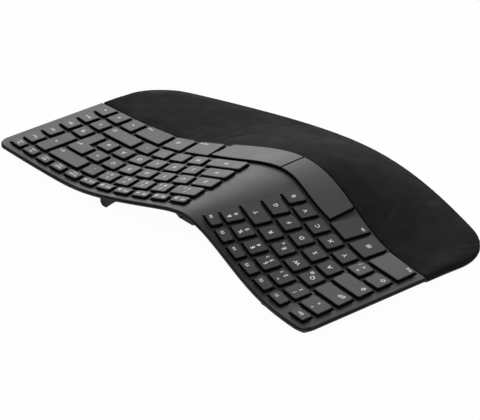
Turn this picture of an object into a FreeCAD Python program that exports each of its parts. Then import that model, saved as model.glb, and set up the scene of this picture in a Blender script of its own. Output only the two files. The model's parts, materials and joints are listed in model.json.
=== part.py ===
import FreeCAD, Part
import os
from math import atan, cos, exp, hypot, pi, radians, sin, tan

V = FreeCAD.Vector

# Driving dimensions in millimetres. x runs to the typist's right from the split between the two
# halves, y to the rear from the back edge of the digit row, z up from the plane of the case pads.
PITCH = 19.0
CAP_WIDTH = 14.6
CAP_DEPTH = 15.0
FUNCTION_CAP_DEPTH = 9.3
CAP_RISE = 2.2
CAP_SKIRT = 0.6
CAP_DRAFT = 0.2
CAP_BEVEL = 0.45
CAP_CORNER = 1.6
CAP_PLAY = 0.6
TRAVEL = 1.6

# The two halves turn away from each other and fan out again towards the sides.
ROW_BEND = 0.354
ROW_ROUND = 13.0
ROW_FAN = 0.001008
ROW_LOOK = 245
ROW_STEP = 1.0
HALF_LOOK = 0.5

# The crest over the split and the level wings beside it.
CREST_Z = 27.8
CREST_DROP = 18.5
CREST_POWER = 1.42
CREST_REAR_Y = 25.0
CREST_FRONT_Y = -115.0
CREST_REAR_HALF = 118.5
CREST_FRONT_HALF = 126.0
CREST_REAR_ROUND = 13.0
CREST_FRONT_ROUND = 54.0

# Plan outline.
REAR_Y = 46.4
REAR_NOTCH = 21.9
REAR_NOTCH_HALF = 84.0
REAR_NOTCH_X = -2.7
LEFT_REAR_X = -153.1
LEFT_FRONT_X = -168.2
RIGHT_REAR_X = 220.8
RIGHT_FRONT_X = 222.6
SIDE_FRONT_Y = -130.0
FRONT_Y = -193.8
FRONT_MID_X = 4.2
FRONT_FLARE = 0.493
FRONT_ROUND = 114.6
FRONT_SKEW = -0.029
REAR_CORNER = 11.0
FRONT_CORNER = 50.0
PALM_LINE_Y = -68.5
PALM_LINE_BELLY = 40.0
PALM_LINE_HALF = 100.0
PALM_EDGE_Z = 7.0
PALM_FALL = 1.8

# Shells and layers, measured down from the deck surface.
DECK_WALL = 1.8
CASE_WALL = 2.2
FLOOR_WALL = 1.4
CASE_FLOOR_Z = 1.2
RIM_DEPTH = 3.2
PALM_RIM = 3.0
SEAM = 0.1
MEMBRANE_DOWN = 3.9
MEMBRANE_WALL = 0.3
PLATE_WALL = 0.5
PLATE_INSET = 8.2
PLATE_FRONT = 2.6
RIB = 4.0
RIB_REAR = 0.9
PALM_WALL = 8.0
CARRIER_INSET = 1.3
EDGE_INSET = 4.0
SIDE_RAMP = 12.0
RIM_ROUND = 0.8
PAD_WALL = 2.8
PAD_CLEAR = 0.3
PAD_ROUND = 1.5
CARRIER_WALL = 1.0
RAMP_SIDE = 12.0
RAMP_CENTRE = 34.0
RAMP_HALF = 60.0

# Support on the table.
TILT = 1.75
TILT_PIVOT_Y = -180.0
FOOT_X = 91.1
FOOT_Y = 27.4
FOOT_PIN_Z = 3.8
FOOT_PIN_RADIUS = 0.9
FOOT_PIN_PLAY = 0.06
FOOT_BORE_SIDES = 8
FOOT_WIDTH = 17.0
FOOT_TIP = 8.6
FOOT_ROUND = 2.4
FOOT_WALL = 2.4
FOOT_STUB = 1.2
FOOT_PLAY = 0.3
FOOT_HOOD = 0.7
FOOT_SOLE = 1.6
CASE_PAD_LENGTH = 24.0
CASE_PAD_WIDTH = 8.0
PAD_SEAT = 0.6
FRONT_PADS = [(-105.0, -138.0), (150.0, -138.0)]
REAR_PADS = [(-132.0, 12.0), (176.0, 12.0)]

# Screws, with the rear ones in the strip behind the function row.
SCREW_RADIUS = 1.0
SCREW_HEAD_RADIUS = 1.7
SCREW_HEAD = 1.1
SCREW_CLEAR = 0.05
SCREW_TIP = 1.1
SCREW_INSET = 5.6
BOSS_RADIUS = 2.0
LUG_RADIUS = 2.4
LUG_WALL = 0.8
REAR_SCREWS = [-125.5, -47.3, 45.8, 119.7, 194.0]
PALM_SCREWS = [(-138.0, -112.0), (-52.0, -150.0), (88.0, -150.0), (196.0, -112.0)]

# Key springs.
DOME_FOOT = 3.1
DOME_TOP = 1.7
DOME_SIDES = 4
LINK = 0.8
SPACE_STEM = 0.7
LINK_REACH = 4.6
LINK_SIDE = 5.0

# Power: bay, cells, contacts and door.
BAY_X = 3.0
BAY_Y = -52.0
BAY_LENGTH = 50.0
BAY_WIDTH = 23.4
BAY_WALL = 1.4
BAY_HEIGHT = 9.0
CELL_RADIUS = 5.2
CELL_LENGTH = 44.0
CELL_TIP = 0.9
TIP_RADIUS = 1.8
SPRING_RADIUS = 2.9
CONTACT_WALL = 0.5
DOOR_LIP = 1.6
DOOR_PLAY = 0.25
DOOR_WALL = 1.0
GRIP_LENGTH = 14.0
GRIP_WIDTH = 3.0

# Board, ribbon and switch.
BOARD_X = 3.0
BOARD_Y = -18.0
BOARD_Z = 14.2
BOARD_LENGTH = 54.0
BOARD_WIDTH = 22.0
BOARD_WALL = 1.2
MODULE = 14.0
MODULE_AT = -12.0
MODULE_RISE = 1.8
CHIP = 8.0
CHIP_AT = 8.0
CHIP_RISE = 1.0
SOCKET = 3.0
SOCKET_AT = 20.0
POST_RADIUS = 2.0
TAIL_WIDTH = 10.0
TAIL_WALL = 0.3
TAIL_REACH = 9.0
POD_WIDTH = 24.0
POD_X = -1.0
POD_HEIGHT = 5.2
POD_SHOULDER = 1.5
POD_TAPER = 4.0
POD_DEPTH = 5.6
POD_INSET = 1.0
SWITCH_WIDTH = 9.0
SWITCH_HEIGHT = 1.9
SWITCH_DEPTH = 3.2
SWITCH_TRAVEL = 3.0
SWITCH_OUT = 0.9
SWITCH_PLAY = 0.2
SWITCH_RIBS = 5

# Rows: distance of the rear edge behind the digit row's rear edge.
ROWS = {"function": 13.2, "digit": 0.0, "top": -PITCH, "home": -2 * PITCH, "low": -3 * PITCH,
        "thumb": -4 * PITCH}
THUMB_LOOK = -85.0
THUMB_MARGIN = 3.2
SPACE_MARGIN = 2.0
SPACE_REAR_Y = -63.5
SPACE_BELLY = 16.5
SPACE_HALF = 45.0
SPACE_SEAM_X = 3.0
SPACE_GAP = 0.9
SPACE_END = 71.5


def bell(x, half):
    return exp(-(x / half) ** 2)


def row_line(x):
    return ROW_BEND * (hypot(x, ROW_ROUND) - ROW_ROUND) - ROW_FAN * x * x


def row_angle(x):
    return atan(ROW_BEND * x / hypot(x, ROW_ROUND) - 2 * ROW_FAN * x)


def crest(x, y):
    """Height of the deck against its top over the split."""
    share = (CREST_REAR_Y - y) / (CREST_REAR_Y - CREST_FRONT_Y)
    half = CREST_REAR_HALF + (CREST_FRONT_HALF - CREST_REAR_HALF) * share
    rounding = max(CREST_REAR_ROUND + (CREST_FRONT_ROUND - CREST_REAR_ROUND) * share, 1.0)
    run = (hypot(x, rounding) - rounding) / (hypot(half, rounding) - rounding)
    return -CREST_DROP * (1 - max(1 - run, 0.0) ** CREST_POWER)


def deck_z(x, y):
    return CREST_Z + crest(x, y)


def rear_y(x):
    return REAR_Y - REAR_NOTCH * bell(x - REAR_NOTCH_X, REAR_NOTCH_HALF)


def palm_line_y(x):
    return PALM_LINE_Y - PALM_LINE_BELLY * bell(x, PALM_LINE_HALF)


def front_y(x):
    run = x - FRONT_MID_X
    return FRONT_Y + FRONT_FLARE * (hypot(run, FRONT_ROUND) - FRONT_ROUND) + FRONT_SKEW * run


def space_rear_y(x):
    return SPACE_REAR_Y - SPACE_BELLY * bell(x, SPACE_HALF)


def plan(line_x, t):
    """Plan point at distance t behind the row line, on the column that starts at line_x."""
    turn = row_angle(line_x)
    return line_x - t * sin(turn), row_line(line_x) + t * cos(turn)


def deck_point(side, line_x, t):
    x, y = plan(line_x, t)
    return V(side * x, y, deck_z(x, y))


def spaced(low, high, count):
    return [low + (high - low) * i / (count - 1) for i in range(count)]


def spline(points):
    curve = Part.BSplineCurve()
    curve.interpolate(points)
    return curve.toShape()


def lookup(t):
    """Arc length along a row's middle line against line_x."""
    xs = [i * ROW_STEP for i in range(int(ROW_LOOK / ROW_STEP))]
    points = [deck_point(1, x, t) for x in xs]
    arc = [0.0]
    for a, b in zip(points, points[1:]):
        arc.append(arc[-1] + (b - a).Length)
    return xs, arc


def row_middle(row):
    if row == "thumb":
        return THUMB_LOOK
    depth = FUNCTION_CAP_DEPTH if row == "function" else CAP_DEPTH
    return ROWS[row] - depth / 2


LOOKUPS = {row: lookup(row_middle(row)) for row in ROWS}


def line_x_at(row, arc_length):
    xs, arc = LOOKUPS[row]
    if arc_length < 0:
        return arc_length
    for i in range(len(arc) - 1):
        if arc[i + 1] >= arc_length:
            return xs[i] + ROW_STEP * (arc_length - arc[i]) / (arc[i + 1] - arc[i])
    return xs[-1]


def front_t(line_x, margin):
    """Distance t at which a column reaches the palm line less a margin."""
    t = THUMB_LOOK
    for _ in range(12):
        x, y = plan(line_x, t)
        t += (palm_line_y(x) + margin - y) / cos(row_angle(line_x))
    return t


def frame_at(side, line_x, t):
    """Local axes on the deck: x along the row, y along the column, z out of the deck."""
    origin = deck_point(side, line_x, t)
    along = deck_point(side, line_x + HALF_LOOK, t) - deck_point(side, line_x - HALF_LOOK, t)
    back = deck_point(side, line_x, t + HALF_LOOK) - deck_point(side, line_x, t - HALF_LOOK)
    axis_x = (along * side).normalize()
    axis_z = axis_x.cross(back).normalize()
    axis_y = axis_z.cross(axis_x)
    return FreeCAD.Placement(FreeCAD.Matrix(
        axis_x.x, axis_y.x, axis_z.x, origin.x,
        axis_x.y, axis_y.y, axis_z.y, origin.y,
        axis_x.z, axis_y.z, axis_z.z, origin.z,
        0, 0, 0, 1))


def grow(outline, distance):
    """Outline of (x, y) points, anticlockwise, with every side moved out."""
    count = len(outline)
    lines = []
    for i in range(count):
        ax, ay = outline[i]
        bx, by = outline[(i + 1) % count]
        length = hypot(bx - ax, by - ay)
        nx, ny = (by - ay) / length, (ax - bx) / length
        lines.append((nx, ny, nx * ax + ny * ay + distance))
    moved = []
    for i in range(count):
        a, b, c = lines[i - 1]
        d, e, f = lines[i]
        det = a * e - b * d
        moved.append(((c * e - b * f) / det, (a * f - c * d) / det))
    return moved


def clip_corners(outline, size):
    """Each outer corner of the outline becomes a short flat; an inner corner stays."""
    count = len(outline)
    clipped = []
    for i in range(count):
        px, py = outline[i - 1]
        x, y = outline[i]
        nx, ny = outline[(i + 1) % count]
        before = hypot(px - x, py - y)
        after = hypot(nx - x, ny - y)
        turn = (x - px) * (ny - y) - (y - py) * (nx - x)
        if turn < 0:
            clipped.append((x, y))
            continue
        clipped.append((x + (px - x) * size / before, y + (py - y) * size / before))
        clipped.append((x + (nx - x) * size / after, y + (ny - y) * size / after))
    return clipped


def ring(outline, z):
    points = [V(x, y, z) for x, y in outline]
    return Part.makePolygon(points + points[:1])


def prism(outline, low, high):
    return Part.Face(ring(outline, low)).extrude(V(0, 0, high - low))


def flat(*points):
    return Part.Face(Part.makePolygon(list(points) + [points[0]]))


def closed(faces):
    """A solid from flat faces that meet along their edges."""
    shell = Part.Shell(faces)
    shell.sewShape()
    solid = Part.Solid(shell)
    if solid.Volume < 0:
        solid.reverse()
    return solid


def stacked(levels):
    """A solid through similar outlines, given with their heights from the lowest up."""
    rims = [[V(x, y, z) for x, y in outline] for outline, z in levels]
    faces = [flat(*rims[0]), flat(*rims[-1])]
    for lower, upper in zip(rims, rims[1:]):
        faces += [flat(lower[i - 1], lower[i], upper[i], upper[i - 1]) for i in range(len(lower))]
    return closed(faces)


def signed_area(outline):
    total = 0.0
    for i in range(len(outline)):
        ax, ay = outline[i - 1]
        bx, by = outline[i]
        total += ax * by - ay * bx
    return total / 2


class Key:
    """A key from its corners, given as (line_x, t), in the frame of its middle."""

    def __init__(self, side, corners):
        xs = [c[0] for c in corners]
        ts = [c[1] for c in corners]
        self.side = side
        self.place = frame_at(side, (min(xs) + max(xs)) / 2, (min(ts) + max(ts)) / 2)
        inverse = self.place.inverse()
        local = [inverse.multVec(deck_point(side, x, t)) for x, t in corners]
        outline = [(p.x, p.y) for p in local]
        if signed_area(outline) < 0:
            outline.reverse()
        self.outline = outline
        front = [p.x for p, corner in zip(local, corners) if 2 * corner[1] < min(ts) + max(ts)]
        to_stem = FreeCAD.Placement(V(sum(front) / len(front), 0, 0), FreeCAD.Rotation())
        self.stem = self.place.multiply(to_stem)
        self.depth = max(ts) - min(ts)
        self.width = max(p[0] for p in outline) - min(p[0] for p in outline)

    def cap(self):
        base = clip_corners(grow(self.outline, CAP_DRAFT), CAP_CORNER)
        shoulder = clip_corners(self.outline, CAP_CORNER)
        top = clip_corners(grow(self.outline, -CAP_BEVEL), CAP_CORNER - CAP_BEVEL / 2)
        solid = stacked([(base, -CAP_SKIRT), (shoulder, CAP_RISE - CAP_BEVEL), (top, CAP_RISE)])
        solid.Placement = self.place
        return solid

    def opening(self):
        tool = prism(grow(self.outline, CAP_DRAFT + CAP_PLAY), -CAP_RISE * 2, CAP_RISE * 2)
        tool.Placement = self.place
        return tool


def key(side, row, arc_in, arc_out):
    """A four-cornered key between two arc lengths of one row."""
    inner = line_x_at(row, arc_in)
    outer = line_x_at(row, arc_out)
    rear = ROWS[row]
    if row == "thumb":
        return Key(side, [(inner, rear), (outer, rear),
                          (outer, front_t(outer, THUMB_MARGIN)), (inner, front_t(inner, THUMB_MARGIN))])
    front = rear - (FUNCTION_CAP_DEPTH if row == "function" else CAP_DEPTH)
    return Key(side, [(inner, rear), (outer, rear), (outer, front), (inner, front)])


def keys_in_row(side, row, first, count):
    return [key(side, row, first + i * PITCH, first + i * PITCH + CAP_WIDTH) for i in range(count)]


LEFT, RIGHT = -1, 1
GAP = PITCH - CAP_WIDTH
# Start of the regular keys of each row, and the outer edges, as arc lengths from the split.
RIGHT_START = {"function": 12.0, "digit": 44.9, "top": 42.4, "home": 51.6, "low": 64.3}
LEFT_START = {"function": 12.9, "digit": 17.3, "top": 49.8, "home": 49.1, "low": 26.4}
RIGHT_INNER = {"digit": 15.6, "top": 17.6, "home": 22.0, "low": 26.2}
LEFT_INNER = {"top": 20.1, "home": 24.4}
LEFT_OUTER = {"function": 149.4, "digit": 151.2, "top": 153.1, "home": 154.8, "low": 156.0, "thumb": 158.2}
NAV_START = 181.4
NAV_PITCH = 19.0
BLOCK_END = NAV_START - GAP
LEFT_THUMB = [(76.3, 97.1), (101.6, 121.4), (125.9, 158.2)]
RIGHT_THUMB = [(75.5, 100.4), (104.8, 124.8), (129.0, 157.7), (162.1, 176.9)]
FUNCTION_PITCH = 19.4

keys = {}
openings = []


def store(name, members):
    keys[name] = members


def left_function():
    return [key(LEFT, "function", LEFT_START["function"] + i * FUNCTION_PITCH,
                LEFT_START["function"] + i * FUNCTION_PITCH + CAP_WIDTH) for i in range(6)]


def nav(row, column):
    start = NAV_START + column * NAV_PITCH
    return key(RIGHT, row, start, start + CAP_WIDTH)


def right_media():
    """Four keys between the function keys and the corner key, the outer two over the navigation columns."""
    start = RIGHT_START["function"] + 6 * PITCH
    step = (NAV_START - start) / 3
    inner = [key(RIGHT, "function", start + i * step, start + i * step + step - GAP) for i in range(3)]
    return inner + [nav("function", 0), nav("function", 1)]


store("function_keys_left", left_function())
store("function_keys_right", keys_in_row(RIGHT, "function", RIGHT_START["function"], 6))
store("function_keys_outer", right_media())
store("escape_key", [key(LEFT, "function", LEFT_OUTER["function"] - CAP_WIDTH, LEFT_OUTER["function"])])

digits_left_end = LEFT_START["digit"] + 6 * PITCH
store("digit_keys_left", keys_in_row(LEFT, "digit", LEFT_START["digit"], 6))
store("caret_key", [key(LEFT, "digit", digits_left_end, LEFT_OUTER["digit"])])
store("digit_keys_right",
      [key(RIGHT, "digit", RIGHT_INNER["digit"], RIGHT_START["digit"] - GAP)]
      + keys_in_row(RIGHT, "digit", RIGHT_START["digit"], 5))
store("backspace_key", [key(RIGHT, "digit", RIGHT_START["digit"] + 5 * PITCH, BLOCK_END)])
store("home_key", [nav("digit", 1)])

store("top_letters_left",
      [key(LEFT, "top", LEFT_INNER["top"], LEFT_START["top"] - GAP)]
      + keys_in_row(LEFT, "top", LEFT_START["top"], 4))
store("tab_key", [key(LEFT, "top", LEFT_START["top"] + 4 * PITCH, LEFT_OUTER["top"])])
store("top_letters_right",
      [key(RIGHT, "top", RIGHT_INNER["top"], RIGHT_START["top"] - GAP)]
      + keys_in_row(RIGHT, "top", RIGHT_START["top"], 6))
store("page_up_key", [nav("top", 1)])

store("home_letters_left",
      [key(LEFT, "home", LEFT_INNER["home"], LEFT_START["home"] - GAP)]
      + keys_in_row(LEFT, "home", LEFT_START["home"], 4))
store("caps_lock_key", [key(LEFT, "home", LEFT_START["home"] + 4 * PITCH, LEFT_OUTER["home"])])
store("home_letters_right",
      [key(RIGHT, "home", RIGHT_INNER["home"], RIGHT_START["home"] - GAP)]
      + keys_in_row(RIGHT, "home", RIGHT_START["home"], 6))
store("calculator_key", [nav("home", 0)])
store("page_down_key", [nav("home", 1)])

store("low_letters_left", keys_in_row(LEFT, "low", LEFT_START["low"], 5))
store("angle_key", keys_in_row(LEFT, "low", LEFT_START["low"] + 5 * PITCH, 1))
store("left_shift_key", [key(LEFT, "low", LEFT_START["low"] + 6 * PITCH, LEFT_OUTER["low"])])
store("low_letters_right",
      [key(RIGHT, "low", RIGHT_INNER["low"], RIGHT_START["low"] - GAP)]
      + keys_in_row(RIGHT, "low", RIGHT_START["low"], 4))
store("right_shift_key", [key(RIGHT, "low", RIGHT_START["low"] + 4 * PITCH, BLOCK_END)])
store("up_key", [nav("low", 0)])
store("end_key", [nav("low", 1)])

for name, (arc_in, arc_out) in zip(["left_alt_key", "left_system_key", "left_control_key"], LEFT_THUMB):
    store(name, [key(LEFT, "thumb", arc_in, arc_out)])
right_thumb_names = ["alt_graph_key", "right_system_key", "right_control_key", "left_arrow_key"]
for name, (arc_in, arc_out) in zip(right_thumb_names, RIGHT_THUMB):
    store(name, [key(RIGHT, "thumb", arc_in, arc_out)])
store("down_key", [nav("thumb", 0)])
store("right_arrow_key", [nav("thumb", 1)])

# The tall key spans the digit and top rows in the first navigation column.
tall_in = line_x_at("digit", NAV_START)
tall_out = line_x_at("digit", NAV_START + CAP_WIDTH)
tall_front = ROWS["top"] - CAP_DEPTH
tall_corners = [(tall_in, 0.0), (tall_out, 0.0), (tall_out, tall_front), (tall_in, tall_front)]
store("delete_key", [Key(RIGHT, tall_corners)])

# The enter key steps in on its lower row.
enter_top_in = line_x_at("top", RIGHT_START["top"] + 6 * PITCH)
enter_low_in = line_x_at("home", RIGHT_START["home"] + 6 * PITCH)
enter_top_out = line_x_at("top", BLOCK_END)
enter_low_out = line_x_at("home", BLOCK_END)
enter_step = ROWS["top"] - CAP_DEPTH
store("enter_key", [Key(RIGHT, [
    (enter_top_in, ROWS["top"]), (enter_top_out, ROWS["top"]),
    (enter_low_out, ROWS["home"] - CAP_DEPTH), (enter_low_in, ROWS["home"] - CAP_DEPTH),
    (enter_low_in, enter_step), (enter_top_in, enter_step)])])

PLAN_LOW = -200.0
PLAN_HIGH = 260.0
PLAN_REAR = 90.0
PLAN_FRONT = -240.0
GRID_LOW = -180.0
GRID_HIGH = 240.0
GRID_COUNT = 43
GRID_X = spaced(GRID_LOW, GRID_HIGH, GRID_COUNT)
GRID_COARSE = GRID_X[::3]
REACH = 60.0
CONFUSED = 1e-6
SKIN_REAR = 60.0
SKIN_FRONT = -135.0
SKIN_ROWS = 9
PALM_BEFORE = -0.12
PALM_BEYOND = 1.16
PALM_ROWS = 7
SLOPE_FRONT = -140.0
REAR_STATIONS = 13
FRONT_STATIONS = 9
LINE_STATIONS = 21
LINE_FLATS = 15
EDGE_SHARES = (0.1, 0.5, 0.9)


def surface(rows):
    grid = Part.BSplineSurface()
    grid.interpolate(rows)
    return grid.toShape()


def deck_surface():
    ys = spaced(SKIN_REAR, SKIN_FRONT, SKIN_ROWS)
    return surface([[V(x, y, deck_z(x, y)) for y in ys] for x in GRID_X])


def palm_surface():
    rows = []
    for x in GRID_COARSE:
        rear = palm_line_y(x)
        front = front_y(x)
        edge = deck_z(x, rear)
        line = []
        for share in spaced(PALM_BEFORE, PALM_BEYOND, PALM_ROWS):
            drop = abs(share) ** PALM_FALL if share > 0 else 0.0
            line.append(V(x, rear + (front - rear) * share, edge - (edge - PALM_EDGE_Z) * drop))
        rows.append(line)
    return surface(rows)


RAMP_LOW = -0.1
RAMP_HIGH = 1.2


def ramp_length(x):
    return RAMP_SIDE + RAMP_CENTRE * bell(x, RAMP_HALF)


def ramp_point(x, share):
    """A point of the straight slope from the floor of the case up to its thin rear rim."""
    rear = rear_y(x)
    rim = deck_z(x, rear) - RIM_DEPTH
    return V(x, rear + ramp_length(x) * (share - 1), CASE_FLOOR_Z + (rim - CASE_FLOOR_Z) * share)


def underside_z(x, y):
    share = 1 - (rear_y(x) - y) / ramp_length(x)
    return ramp_point(x, max(share, 0.0)).z


def side_x(rear_x, front_x, y):
    return rear_x + (front_x - rear_x) * (REAR_Y - y) / (REAR_Y - SIDE_FRONT_Y)


def ramp_surface():
    """The swept-up rear of the underside, ruled from its foot to beyond the rim."""
    return Part.makeRuledSurface(spline([ramp_point(x, RAMP_LOW) for x in GRID_COARSE]),
                                 spline([ramp_point(x, RAMP_HIGH) for x in GRID_COARSE]))


deck_skin = deck_surface()
palm_skin = palm_surface()


def below(skin, down):
    """Everything under a skin moved down."""
    moved = skin.copy()
    moved.translate(V(0, 0, -down))
    return moved.extrude(V(0, 0, -REACH))


def slab(skin, upper, lower):
    """A sheet between two depths under a skin."""
    moved = skin.copy()
    moved.translate(V(0, 0, -lower))
    return moved.extrude(V(0, 0, lower - upper))


# Inner sheets are bent flat by flat between these stations.
DECK_STATIONS = [GRID_LOW, -128, -98, -70, -46, -27, -14, -5, 5, 14, 27, 46, 70, 98, 128, GRID_HIGH]
DECK_ROWS = [50.0, -30.0, SKIN_FRONT]
PALM_STATIONS = [GRID_LOW, -122, -84, -50, -18, 18, 50, 84, 122, GRID_HIGH]
PALM_SHARES = [PALM_BEFORE, 0.3, 0.6, 0.85, 1.12]


def pressed(lines, upper, lower):
    """A solid between two depths under a grid of points, in flat triangles."""
    grids = [[[V(p.x, p.y, p.z - down) for p in line] for line in lines] for down in (upper, lower)]
    last = len(lines) - 1
    end = len(lines[0]) - 1
    faces = []
    for grid in grids:
        for i in range(last):
            for j in range(end):
                faces.append(flat(grid[i][j], grid[i + 1][j], grid[i + 1][j + 1]))
                faces.append(flat(grid[i][j], grid[i + 1][j + 1], grid[i][j + 1]))
    border = [(i, 0) for i in range(last)] + [(last, j) for j in range(end)]
    border += [(i, end) for i in range(last, 0, -1)] + [(0, j) for j in range(end, 0, -1)]
    for (i, j), (k, m) in zip(border, border[1:] + border[:1]):
        faces.append(flat(grids[0][i][j], grids[0][k][m], grids[1][k][m], grids[1][i][j]))
    return closed(faces)


def sheet_z(x, y):
    """Height of the flat triangles that stand for the deck."""
    i = max(k for k in range(len(DECK_STATIONS) - 1) if DECK_STATIONS[k] <= x)
    j = max(k for k in range(len(DECK_ROWS) - 1) if DECK_ROWS[k] >= y)
    u = (x - DECK_STATIONS[i]) / (DECK_STATIONS[i + 1] - DECK_STATIONS[i])
    v = (DECK_ROWS[j] - y) / (DECK_ROWS[j] - DECK_ROWS[j + 1])
    near = deck_lines[i][j].z
    far = deck_lines[i + 1][j + 1].z
    if u > v:
        middle = deck_lines[i + 1][j].z
        return near + u * (middle - near) + v * (far - middle)
    middle = deck_lines[i][j + 1].z
    return near + v * (middle - near) + u * (far - middle)


def palm_z(x, y):
    """Height of the palm rest: level with the deck at the palm line, falling to the front edge."""
    rear = palm_line_y(x)
    share = max((rear - y) / (rear - front_y(x)), 0.0)
    edge = deck_z(x, rear)
    return edge - (edge - PALM_EDGE_Z) * share ** PALM_FALL


def palm_line(x):
    rear = palm_line_y(x)
    ys = [rear + (front_y(x) - rear) * share for share in PALM_SHARES]
    return [V(x, y, palm_z(x, y)) for y in ys]


deck_lines = [[V(x, y, deck_z(x, y)) for y in DECK_ROWS] for x in DECK_STATIONS]
palm_lines = [palm_line(x) for x in PALM_STATIONS]


def side_slope(side, rear_x, front_x):
    """Grid of the slope from the floor up to the thin rim along one side."""
    lines = []
    for y in (PLAN_REAR, PALM_LINE_Y, SLOPE_FRONT):
        edge = side_x(rear_x, front_x, y)
        rise = min(palm_z(edge, y), CREST_Z - CREST_DROP) - PALM_RIM - CASE_FLOOR_Z
        beyond = 1 + RIM_ROUND / SIDE_RAMP
        lines.append([V(edge - side * SIDE_RAMP, y, CASE_FLOOR_Z),
                      V(edge + side * RIM_ROUND, y, CASE_FLOOR_Z + rise * beyond)])
    return lines


LOW = -10.0
TALL = 70.0


def upright(block):
    """The vertical edges of a prism."""
    ends = [(e, e.Vertexes[0].Point, e.Vertexes[-1].Point) for e in block.Edges]
    return [e for e, a, b in ends if hypot(a.x - b.x, a.y - b.y) < CONFUSED and abs(a.z - b.z) > TALL / 2]


def outline_prism(inset):
    """The plan outline of the whole keyboard, drawn in by an inset."""
    rear_xs = spaced(LEFT_REAR_X + inset, RIGHT_REAR_X - inset, REAR_STATIONS)
    rear = [V(x, rear_y(x) - inset, LOW) for x in rear_xs]
    left_front_x = side_x(LEFT_REAR_X, LEFT_FRONT_X, front_y(LEFT_FRONT_X)) + inset
    right_front_x = side_x(RIGHT_REAR_X, RIGHT_FRONT_X, front_y(RIGHT_FRONT_X)) - inset
    front_xs = spaced(left_front_x, right_front_x, FRONT_STATIONS)
    front = [V(x, front_y(x) + inset, LOW) for x in front_xs]
    edges = [spline(rear), Part.makeLine(rear[-1], front[-1])]
    edges += [spline(front), Part.makeLine(front[0], rear[0])]
    block = Part.Face(Part.Wire(Part.__sortEdges__(edges))).extrude(V(0, 0, TALL))
    block = block.makeFillet(REAR_CORNER - inset, [e for e in upright(block) if e.Vertexes[0].Y > 0])
    front_corners = [e for e in upright(block) if e.Vertexes[0].Y < PALM_LINE_Y]
    return block.makeFillet(FRONT_CORNER - inset, front_corners)


def band(rear_line, front_line, x_low, x_high, count):
    """A plan band between two lines y(x)."""
    xs = spaced(x_low, x_high, count)
    rear = [V(x, rear_line(x), LOW) for x in xs]
    front = [V(x, front_line(x), LOW) for x in xs]
    edges = [spline(rear), Part.makeLine(rear[-1], front[-1])]
    edges += [spline(front), Part.makeLine(front[0], rear[0])]
    return Part.Face(Part.Wire(Part.__sortEdges__(edges))).extrude(V(0, 0, TALL))


def split(offset, far_y, curved):
    """Everything between the palm line, moved by an offset, and a far edge."""
    xs = spaced(PLAN_LOW, PLAN_HIGH, LINE_STATIONS if curved else LINE_FLATS)
    line = [V(x, palm_line_y(x) + offset, LOW) for x in xs]
    far = [V(PLAN_HIGH, far_y, LOW), V(PLAN_LOW, far_y, LOW)]
    if curved:
        corners = [line[-1]] + far + [line[0]]
        edges = [spline(line)] + [Part.makeLine(a, b) for a, b in zip(corners, corners[1:])]
        wire = Part.Wire(Part.__sortEdges__(edges))
    else:
        wire = Part.makePolygon(line + far + line[:1])
    return Part.Face(wire).extrude(V(0, 0, TALL))


def deck_side(offset, curved=True):
    return split(offset, PLAN_REAR, curved)


def palm_side(offset, curved=True):
    return split(-offset, PLAN_FRONT, curved)


def box(x, y, z, dx, dy, dz):
    """A block centred on x and y, standing on z."""
    return Part.makeBox(dx, dy, dz, V(x - dx / 2, y - dy / 2, z))


def circle(radius, sides, x=0.0, y=0.0):
    """Corners of a regular outline."""
    turns = [2 * pi * i / sides for i in range(sides)]
    return [(x + radius * cos(turn), y + radius * sin(turn)) for turn in turns]


def post(x, y, low, high, radius, sides=6):
    """An upright many-sided post."""
    return prism(circle(radius, sides, x, y), low, high)


def rod(x, y, z, length, radius, end_radius, sides=12):
    """A many-sided rod or taper along x, its near end at the given point."""
    direction = 1 if length > 0 else -1
    solid = stacked([(circle(radius, sides), 0.0), (circle(end_radius, sides), abs(length))])
    solid.Placement = FreeCAD.Placement(V(x, y, z), FreeCAD.Rotation(V(0, 0, 1), V(direction, 0, 0)))
    return solid


OVAL_STEPS = 4


def oval(x, y, length, width, low, high):
    """An upright post with two round ends."""
    half = (length - width) / 2
    turns = [pi * i / OVAL_STEPS for i in range(OVAL_STEPS + 1)]
    right = [(x + half + width / 2 * sin(turn), y - width / 2 * cos(turn)) for turn in turns]
    left = [(2 * x - px, 2 * y - py) for px, py in right]
    return prism(right + left, low, high)


def wedge(points, run):
    """A closed outline drawn along a direction."""
    return flat(*points).extrude(run)


full = outline_prism(0.0)
inner = outline_prism(CASE_WALL)
under_palm = outline_prism(EDGE_INSET)
palm_inner = outline_prism(PALM_WALL)

nodes = {}

# Key caps, each row's equal keys together.
for name, members in keys.items():
    caps = [member.cap() for member in members]
    nodes[name] = caps[0] if len(caps) == 1 else Part.makeCompound(caps)
    openings += [member.opening() for member in members]


def space_front_y(x):
    return palm_line_y(x) + SPACE_MARGIN


def deck_gap(edge):
    """Least height of an edge above the deck."""
    first, last = edge.ParameterRange
    points = [edge.valueAt(first + (last - first) * share) for share in EDGE_SHARES]
    return min(point.z - deck_z(point.x, point.y) for point in points)


def space_bar(x_low, x_high):
    """A bar curved in plan and over the crest, with a sloped shoulder along its rim."""
    body = band(space_rear_y, space_front_y, x_low, x_high, 7).common(slab(deck_skin, -CAP_RISE, REACH / 10))
    body = body.cut(pressed(deck_lines, CAP_SKIRT, REACH))
    return body.makeChamfer(CAP_BEVEL, [e for e in body.Edges if deck_gap(e) > CAP_RISE / 2])


space_left = SPACE_SEAM_X - SPACE_END
space_right = SPACE_END - GAP / 4
nodes["left_space_bar"] = space_bar(space_left, SPACE_SEAM_X - SPACE_GAP / 2)
nodes["right_space_bar"] = space_bar(SPACE_SEAM_X + SPACE_GAP / 2, space_right)
openings.append(band(lambda x: space_rear_y(x) + CAP_PLAY, lambda x: space_front_y(x) - CAP_PLAY,
                     space_left - CAP_PLAY, space_right + CAP_PLAY, 13))

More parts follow.
